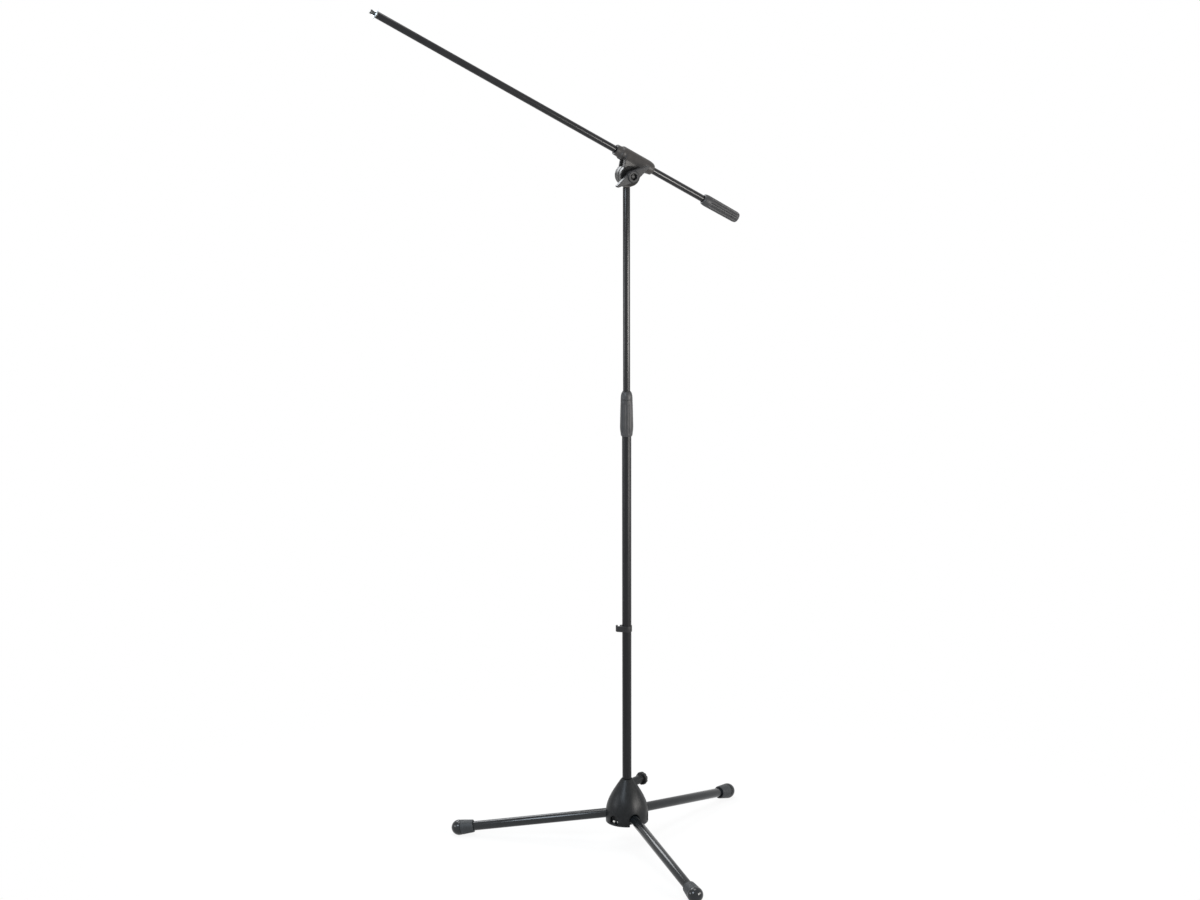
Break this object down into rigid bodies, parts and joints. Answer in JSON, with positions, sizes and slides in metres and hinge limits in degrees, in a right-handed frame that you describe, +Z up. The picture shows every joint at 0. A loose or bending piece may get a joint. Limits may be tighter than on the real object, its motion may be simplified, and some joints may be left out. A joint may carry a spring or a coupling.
{
  "type": "microphone stand",
  "caption": "Black floor-standing microphone stand: folding tripod base under a bell-shaped hub, telescopic column with a twist clutch, and a tilting boom arm with a clamping lever.",
  "frame": {"origin": "on the floor, in the middle of the whole object's footprint, the boom included", "axes": "+Z up along the column; -X towards the boom's tip; -Y the side with the clamping lever"},
  "size_m": [0.896, 0.5998, 1.8292],
  "materials": {
    "cast": "matte black powder coat on die-cast metal",
    "plastic": "black, fine grain",
    "grip": "dark grey, soft touch",
    "tube_satin": "satin black",
    "tube_semi": "semi-gloss black",
    "gloss": "gloss black",
    "foot_ball": "gloss black",
    "rubber": "matte black",
    "nylon": "grey nylon",
    "zinc": "zinc plated",
    "chrome": "polished"
  },
  "bodies": {
    "hub": {"hub_housing": "cast", "hub_top_bush": "plastic", "base_nut": "zinc", "pivot_pin_1": "zinc", "pivot_pin_2": "zinc", "pivot_pin_3": "zinc"},
    "base_knob": {"base_knob": "plastic", "clamp_screw": "zinc"},
    "column": {"lower_tube": "tube_satin", "spreader_spool": "plastic", "clutch_body": "plastic"},
    "leg_1": {"leg_tube_1": "gloss", "leg_knuckle_1": "cast", "foot_sleeve_1": "rubber", "foot_ball_1": "foot_ball"},
    "leg_2": {"leg_tube_2": "gloss", "leg_knuckle_2": "cast", "foot_sleeve_2": "rubber", "foot_ball_2": "foot_ball"},
    "leg_3": {"leg_tube_3": "gloss", "leg_knuckle_3": "cast", "foot_sleeve_3": "rubber", "foot_ball_3": "foot_ball"},
    "clip": {"cable_clip": "plastic"},
    "clutch": {"clutch_grip": "grip", "clutch_cap": "grip"},
    "collet": {"clutch_collet": "nylon"},
    "mast": {"upper_tube": "tube_semi", "mast_guide_bush": "nylon", "tilt_knuckle": "cast"},
    "head": {"boom_head": "cast", "rear_friction_disc": "rubber", "front_friction_disc": "rubber", "front_washer": "plastic", "clamp_bolt": "zinc"},
    "lever": {"wing_lever": "plastic", "lever_nut": "zinc"},
    "liner": {"boom_liner": "nylon"},
    "boom": {"boom_tube": "tube_semi", "tip_stud": "zinc", "rear_grip": "grip"},
    "lock_disc": {"lock_disc": "chrome"}
  },
  "joints": [
    {"name": "base_knob_turn", "type": "hinge", "parent": "hub", "child": "base_knob", "pos_m": [0.1476, 0.1193, 0.135], "axis": [0.866, 0.5, 0], "range_deg": [0, 540]},
    {"name": "column_slide", "type": "slide", "parent": "hub", "child": "column", "axis": [0, 0, 1], "range_m": [0, 0.016]},
    {"name": "leg_1_fold", "type": "hinge", "parent": "hub", "child": "leg_1", "pos_m": [0.1043, 0.0703, 0.06], "axis": [1, 0, 0], "range_deg": [0, 80]},
    {"name": "leg_2_fold", "type": "hinge", "parent": "hub", "child": "leg_2", "pos_m": [0.08352, 0.1063, 0.06], "axis": [-0.5, -0.866, 0], "range_deg": [0, 80]},
    {"name": "leg_3_fold", "type": "hinge", "parent": "hub", "child": "leg_3", "pos_m": [0.12509, 0.1063, 0.06], "axis": [-0.5, 0.866, 0], "range_deg": [0, 80]},
    {"name": "clip_slide", "type": "slide", "parent": "column", "child": "clip", "axis": [0, 0, 1], "range_m": [-0.33, 0.4]},
    {"name": "clutch_turn", "type": "hinge", "parent": "column", "child": "clutch", "pos_m": [0.1043, 0.0943, 0.96], "axis": [0, 0, 1], "range_deg": [0, 180]},
    {"name": "mast_swivel", "type": "hinge", "parent": "column", "child": "collet", "pos_m": [0.1043, 0.0943, 0.985], "axis": [0, 0, 1], "continuous": true},
    {"name": "height_slide", "type": "slide", "parent": "collet", "child": "mast", "axis": [0, 0, 1], "range_m": [-0.41, 0.16]},
    {"name": "boom_tilt", "type": "hinge", "parent": "mast", "child": "head", "pos_m": [0.1043, 0.0943, 1.4745], "axis": [0, 1, 0], "range_deg": [-120, 60]},
    {"name": "lever_turn", "type": "hinge", "parent": "head", "child": "lever", "pos_m": [0.1043, 0.0643, 1.4745], "axis": [0, -1, 0], "range_deg": [0, 360]},
    {"name": "boom_roll", "type": "hinge", "parent": "head", "child": "liner", "pos_m": [0.12162, 0.0943, 1.50537], "axis": [-0.8721, 0, 0.4894], "continuous": true},
    {"name": "boom_slide", "type": "slide", "parent": "liner", "child": "boom", "axis": [-0.8721, 0, 0.4894], "range_m": [-0.58, 0.13]},
    {"name": "lock_disc_turn", "type": "hinge", "parent": "boom", "child": "lock_disc", "pos_m": [-0.43641, 0.0943, 1.81853], "axis": [-0.8721, 0, 0.4894], "range_deg": [0, 720]}
  ],
  "couplings": [
    {"joint": "leg_1_fold", "follows": "column_slide", "rad_per_m": 87.2},
    {"joint": "leg_2_fold", "follows": "column_slide", "rad_per_m": 87.2},
    {"joint": "leg_3_fold", "follows": "column_slide", "rad_per_m": 87.2}
  ]
}
